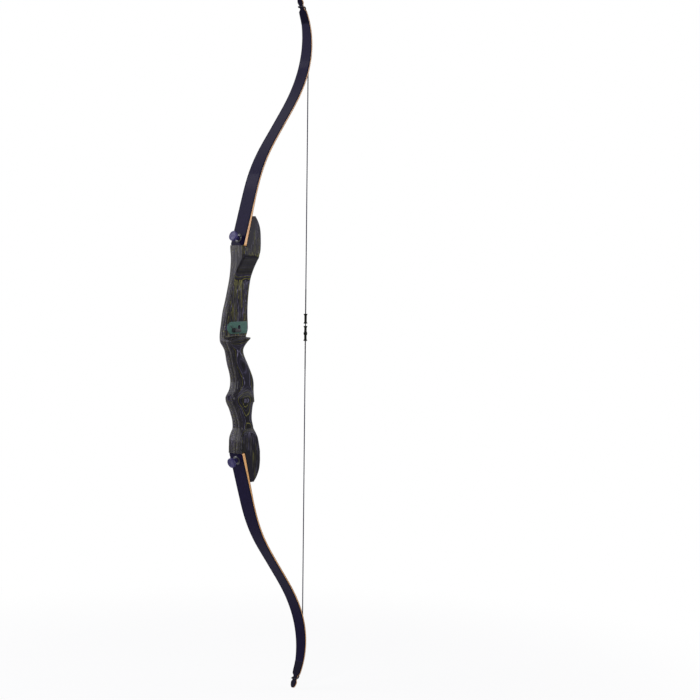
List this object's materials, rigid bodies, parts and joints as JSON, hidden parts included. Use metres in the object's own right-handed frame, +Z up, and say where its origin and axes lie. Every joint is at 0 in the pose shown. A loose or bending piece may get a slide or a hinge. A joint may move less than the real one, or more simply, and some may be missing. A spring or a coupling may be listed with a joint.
{
  "type": "take-down recurve bow",
  "caption": "Strung take-down recurve bow: carved laminated riser with sight window, bolt-on recurve limbs, served string with finger guards and stick-on arrow rest.",
  "frame": {"origin": "throat of the grip, in the middle of the bow's width: the point that the archer's hand presses", "axes": "+X from the grip towards the string and the archer, +Z up along the bow, -Y the side of the sight window"},
  "size_m": [0.2539, 0.041, 1.5474],
  "materials": {
    "riser_wood": "gloss lacquer on dark laminated veneers",
    "brass": "turned",
    "steel": "turned",
    "black_steel": "gloss black",
    "felt": "short felt",
    "rest_plastic": "moulded",
    "limb_glass": "gloss over dark glass laminate",
    "maple": "lacquered maple",
    "knob_plastic": "moulded",
    "string": "waxed strands",
    "serving": "wound thread",
    "guard_rubber": "moulded"
  },
  "bodies": {
    "riser": {"riser": "riser_wood", "stabilizer_bush": "brass", "plunger_bush": "brass", "sight_bushes": "brass", "strike_pad": "felt", "rest_base": "rest_plastic", "upper_limb_insert": "brass", "upper_locating_pin": "steel", "upper_butt_back_glass": "limb_glass", "upper_butt_core": "maple", "upper_butt_wedge": "maple", "upper_butt_belly_glass": "limb_glass", "lower_limb_insert": "brass", "lower_locating_pin": "steel", "lower_butt_back_glass": "limb_glass", "lower_butt_core": "maple", "lower_butt_wedge": "maple", "lower_butt_belly_glass": "limb_glass"},
    "rest_arm": {"rest_arm": "rest_plastic"},
    "upper_limb": {"upper_limb_back_glass": "limb_glass", "upper_limb_core": "maple", "upper_limb_belly_glass": "limb_glass", "upper_tip_overlay": "limb_glass", "upper_string_loop": "serving"},
    "upper_string": {"upper_string": "string", "upper_end_serving": "serving", "upper_centre_serving": "serving", "upper_finger_guard": "guard_rubber"},
    "upper_bolt_carrier": {"upper_washer": "black_steel"},
    "upper_bolt": {"upper_knob": "knob_plastic", "upper_bolt_shank": "steel"},
    "lower_limb": {"lower_limb_back_glass": "limb_glass", "lower_limb_core": "maple", "lower_limb_belly_glass": "limb_glass", "lower_tip_overlay": "limb_glass", "lower_string_loop": "serving"},
    "lower_string": {"lower_string": "string", "lower_end_serving": "serving", "lower_centre_serving": "serving", "lower_finger_guard": "guard_rubber"},
    "lower_bolt_carrier": {"lower_washer": "black_steel"},
    "lower_bolt": {"lower_knob": "knob_plastic", "lower_bolt_shank": "steel"}
  },
  "joints": [
    {"name": "upper_limb_flex", "type": "hinge", "parent": "riser", "child": "upper_limb", "pos_m": [0.0139, 0, 0.30116], "axis": [0, 1, 0], "range_deg": [0, 21], "stiffness_Nm_per_rad": 139},
    {"name": "lower_limb_flex", "type": "hinge", "parent": "riser", "child": "lower_limb", "pos_m": [0.0139, 0, -0.30116], "axis": [0, 1, 0], "range_deg": [-21, 0], "stiffness_Nm_per_rad": 139},
    {"name": "upper_string_swing", "type": "hinge", "parent": "upper_limb", "child": "upper_string", "pos_m": [0.20217, 0, 0.67547], "axis": [0, 1, 0], "range_deg": [-53.9, 0], "deforming": ["upper_string", "upper_end_serving", "upper_centre_serving", "upper_finger_guard"]},
    {"name": "lower_string_swing", "type": "hinge", "parent": "lower_limb", "child": "lower_string", "pos_m": [0.20217, 0, -0.67547], "axis": [0, 1, 0], "range_deg": [0, 49.2], "deforming": ["lower_string", "lower_end_serving", "lower_centre_serving", "lower_finger_guard"]},
    {"name": "rest_arm_fold", "type": "hinge", "parent": "riser", "child": "rest_arm", "pos_m": [-0.0174, -0.0014, 0.0422], "axis": [0, 0, 1], "range_deg": [-13, 0], "stiffness_Nm_per_rad": 0.01},
    {"name": "upper_bolt_travel", "type": "slide", "parent": "riser", "child": "upper_bolt_carrier", "axis": [-0.9548, 0, 0.2974], "range_m": [0, 0.01128]},
    {"name": "upper_knob_turn", "type": "hinge", "parent": "upper_bolt_carrier", "child": "upper_bolt", "pos_m": [-0.00824, 0, 0.23998], "axis": [-0.9548, 0, 0.2974], "range_deg": [0, 2880]},
    {"name": "lower_bolt_travel", "type": "slide", "parent": "riser", "child": "lower_bolt_carrier", "axis": [-0.9548, 0, -0.2974], "range_m": [0, 0.01128]},
    {"name": "lower_knob_turn", "type": "hinge", "parent": "lower_bolt_carrier", "child": "lower_bolt", "pos_m": [-0.00824, 0, -0.23998], "axis": [-0.9548, 0, -0.2974], "range_deg": [0, 2880]}
  ],
  "couplings": [
    {"joint": "lower_limb_flex", "follows": "upper_limb_flex", "ratio": -1},
    {"joint": "upper_string_swing", "follows": "upper_limb_flex", "ratio": -2.5611},
    {"joint": "lower_string_swing", "follows": "upper_limb_flex", "ratio": 2.3338},
    {"joint": "upper_knob_turn", "follows": "upper_bolt_travel", "rad_per_m": 4452.7},
    {"joint": "lower_knob_turn", "follows": "lower_bolt_travel", "rad_per_m": 4452.7}
  ]
}
